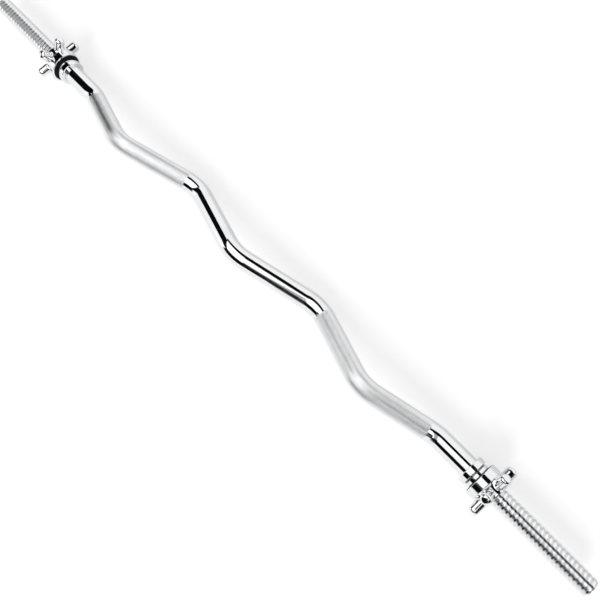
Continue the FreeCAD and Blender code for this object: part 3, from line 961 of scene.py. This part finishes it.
# Sheets overhead, in front and past the ends, which only reflections see, give the chrome the dark,
# grey and bright lines of the photograph. Overhead corners are (x, y), those in front (x, z), and a
# sheet past an end has its x and the y where it starts and stops.
DARK_CARD = card_finish("dark_card", 0.003)
DUSK_CARD = card_finish("dusk_card", 0.05)
GREY_CARD = card_finish("grey_card", 0.3)
PALE_CARD = card_finish("pale_card", 0.45)
BRIGHT_CARD = card_finish("bright_card", 1.12)
VIVID_CARD = card_finish("vivid_card", 2.0)
CARD_HEIGHT = 1.83
OVERHEAD_CARDS = {
    "card_far": (
        DARK_CARD, (-1.75, 0.62), (-0.1, 0.42), (0.3, 0.16), (0.47, 0.13), (0.53, 0.04), (0.97, 0.04),
        (0.97, 0.25), (2.2, 0.25), (2.2, 0.95), (0.3, 1.02), (-0.1, 1.5), (-1.9, 1.4),
    ),
    "card_left": (DARK_CARD, (-1.65, 0.62), (-3.2, 1.8), (-4.6, -0.9), (-2.5, -2.75), (-1.65, -2.0)),
    "card_right": (
        DARK_CARD, (1.1, -2.2), (3.5, -2.2), (3.5, 1.2), (1.6, 1.0), (1.6, -0.7), (1.1, -0.8),
    ),
    "card_near_top": (DUSK_CARD, (0.45, -2.2), (1.05, -2.2), (1.05, -1.35), (0.45, -1.35)),
    "card_vivid": (VIVID_CARD, (-1.5, -1.3), (0.2, -1.3), (0.2, 0.1), (-1.5, 0.4)),
    "card_bright": (BRIGHT_CARD, (0.2, -1.3), (0.56, -1.3), (0.56, 0.03), (0.2, 0.1)),
    "card_pale": (PALE_CARD, (0.56, -1.3), (0.93, -1.3), (0.93, 0.02), (0.56, 0.03)),
    "card_vivid_right": (VIVID_CARD, (0.93, -0.75), (1.5, -0.75), (1.5, 0.03), (0.93, 0.02)),
}
NEAR_CARD_Y = -2.2
NEAR_CARDS = {
    "card_near": (
        DARK_CARD, (-2.1, 0.4), (-1.3, 0.3), (0.5, 0.3), (0.5, 0.55), (0.92, 0.55), (0.92, 0.8),
        (1.8, 0.8), (1.8, 2.2), (-2.1, 2.2),
    ),
    "card_near_low": (
        GREY_CARD, (0.5, 0.05), (1.1, 0.05), (1.1, 0.8), (0.92, 0.8), (0.92, 0.55), (0.5, 0.55),
    ),
    "card_near_right": (GREY_CARD, (1.8, 0.8), (5, 0.8), (5, 2.6), (1.8, 2.6)),
    "card_near_vivid": (VIVID_CARD, (-3.4, 0.2), (-2.4, 0.2), (-2.4, 1.0), (-3.4, 1.0)),
}
END_CARD_FOOT = 0.15
END_CARDS = {"card_left_end": (-4.4, -1.6, 1.9), "card_right_end": (3.6, -1.6, 1.4)}

cards = {}
for name, (finish, *corners) in OVERHEAD_CARDS.items():
    cards[name] = finish, [(x, y, CARD_HEIGHT) for x, y in corners]
for name, (finish, *corners) in NEAR_CARDS.items():
    cards[name] = finish, [(x, NEAR_CARD_Y, z) for x, z in corners]
for name, (x, start, stop) in END_CARDS.items():
    foot = [(x, start, END_CARD_FOOT), (x, stop, END_CARD_FOOT)]
    cards[name] = DARK_CARD, foot + [(x, stop, CARD_HEIGHT), (x, start, CARD_HEIGHT)]
for name, (finish, corners) in cards.items():
    card = flat_sheet(name, corners, finish)
    card.visible_camera = False
    card.visible_diffuse = False
    card.visible_shadow = False

# The world fills the shadows, and is white to the camera and in reflections
world = bpy.data.worlds.new("studio")
bpy.context.scene.world = world
world.use_nodes = True
world_tree = world.node_tree
seen = math_node(world_tree, "MAXIMUM", *ray_kinds(world_tree))
world_strength = add_node(world_tree, "ShaderNodeMapRange", {
    "Value": seen, "To Min": WORLD_FILL, "To Max": 1.0,
})
backdrop = world_tree.nodes["Background"].inputs
backdrop["Color"].default_value = WHITE
world_tree.links.new(world_strength.outputs["Result"], backdrop["Strength"])

# The key light comes almost along the plane of the W, so the W's shadow is nearly a straight line
KEY_ENERGY = 1.0
KEY_SPREAD = math.radians(25)
KEY_FROM = Vector((0.7, -1.06, 1.0))
key = bpy.data.lights.new("key", "SUN")
key.energy = KEY_ENERGY
key.angle = KEY_SPREAD
key_lamp = add_object("key", key)
key_lamp.rotation_euler = KEY_FROM.to_track_quat("Z", "Y").to_euler()

# Camera: where the photograph was taken from, its turn in degrees and its focal length in pixels
CAMERA_PLACE = (0.41119, -0.14647, 1.00385)
CAMERA_TURN = (18.3408, 5.9209, 47.1218)
FOCAL_PIXELS = 766.6
PHOTO_PIXELS = 600
camera = bpy.data.cameras.new("camera")
camera.sensor_fit = "HORIZONTAL"
camera.angle = 2 * math.atan(PHOTO_PIXELS / 2 / FOCAL_PIXELS)
camera_object = add_object("camera", camera)
camera_object.location = CAMERA_PLACE
camera_object.rotation_euler = [math.radians(turn) for turn in CAMERA_TURN]
bpy.context.scene.camera = camera_object
bpy.context.scene.view_settings.view_transform = "Standard"
